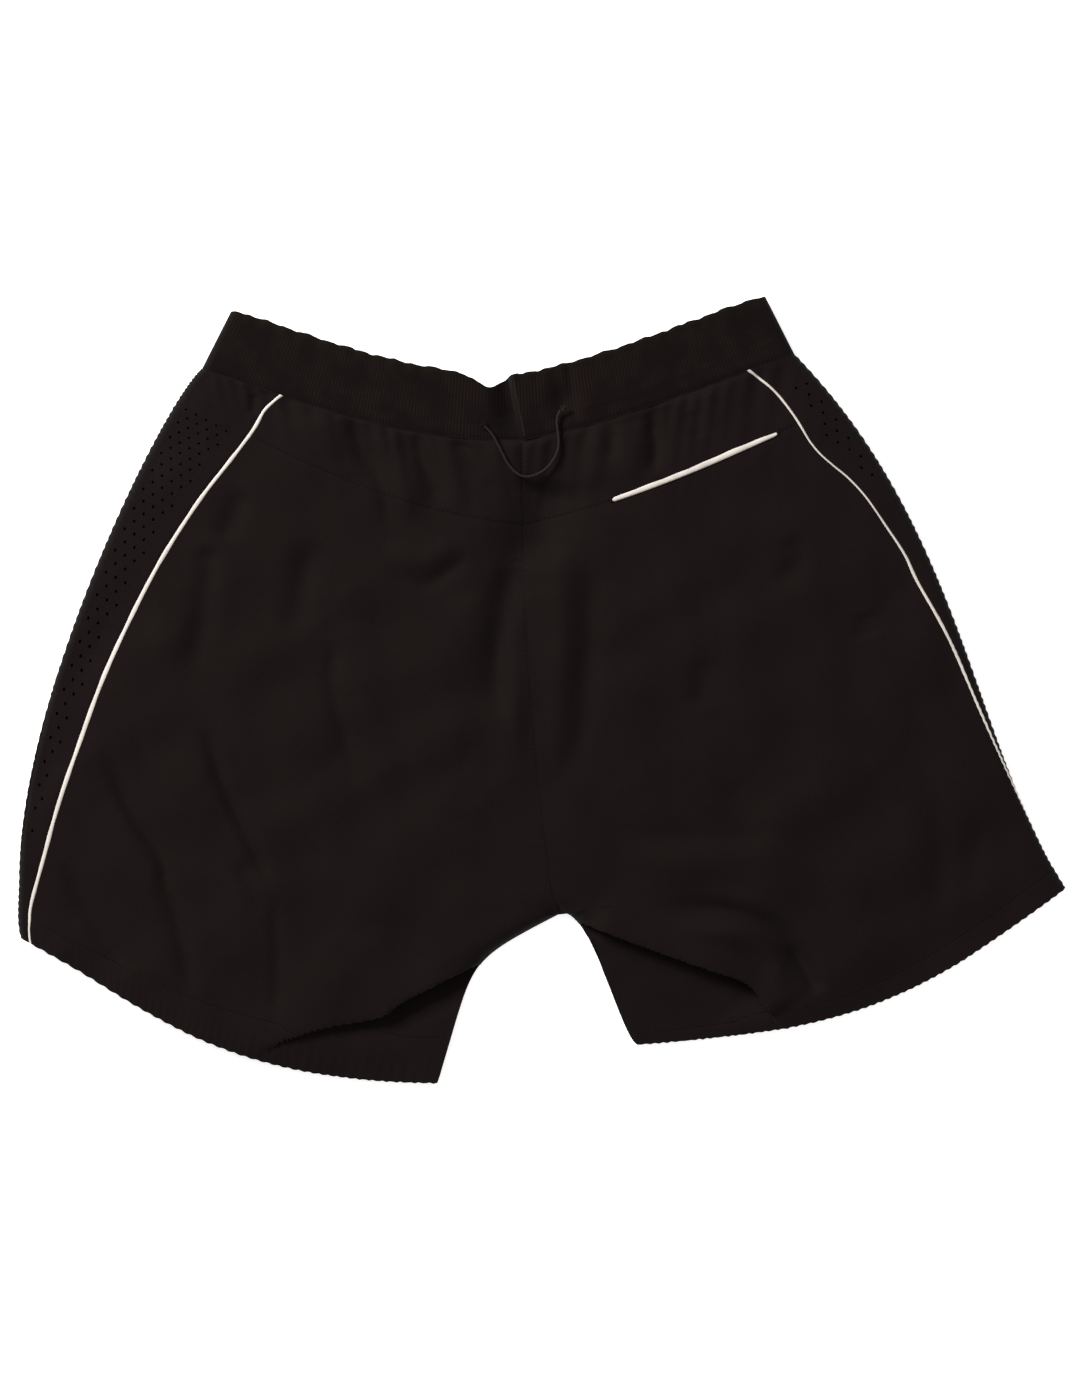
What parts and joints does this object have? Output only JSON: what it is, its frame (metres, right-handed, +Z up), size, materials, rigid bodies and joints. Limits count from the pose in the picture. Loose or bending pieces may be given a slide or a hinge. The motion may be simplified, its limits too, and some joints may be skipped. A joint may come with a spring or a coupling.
{
  "type": "boxing shorts",
  "caption": "Woven athletic shorts laid flat, back uppermost: gathered elastic waistband, yoke with a welt pocket, perforated side panels and reflective piping.",
  "frame": {"origin": "middle of the ground under the garment as it lies, at the centre of the box of everything but the cord loop", "axes": "+X across the garment from its left leg to its right leg as it lies, +Y from the hems to the waist, +Z up from the ground, with the back of the shorts on top"},
  "size_m": [0.7342, 0.5532, 0.0147],
  "materials": {
    "woven_polyester": "matt black plain-weave polyester",
    "perforated_polyester": "matt black knitted polyester with punched ventilation holes",
    "jacquard_elastic": "gathered black jacquard elastic with fine vertical ribs",
    "reflective_tape": "off-white reflective piping tape",
    "braided_cord": "thin dark grey braided polyester cord",
    "grey_thread": "light grey polyester sewing thread, zigzag",
    "black_thread": "dense black bar-tack stitching",
    "pocket_lining": "light black polyester pocket lining"
  },
  "bodies": {
    "root": {"waistband_elastic": "jacquard_elastic", "band_join_stitching": "grey_thread", "cord_loop": "braided_cord", "cord_anchor_left": "black_thread", "cord_anchor_right": "black_thread", "back_yoke_left": "woven_polyester", "back_yoke_right": "woven_polyester", "back_panel_left": "woven_polyester", "back_panel_right": "woven_polyester", "front_panel_left": "woven_polyester", "front_panel_right": "woven_polyester", "side_panel_left": "perforated_polyester", "side_panel_right": "perforated_polyester", "back_piping_left": "reflective_tape", "back_piping_right": "reflective_tape", "front_piping_left": "reflective_tape", "front_piping_right": "reflective_tape", "pocket_piping": "reflective_tape", "pocket_tack_inner": "black_thread", "pocket_tack_outer": "black_thread", "pocket_bag_outer": "pocket_lining", "pocket_bag_inner": "pocket_lining"}
  },
  "joints": []
}
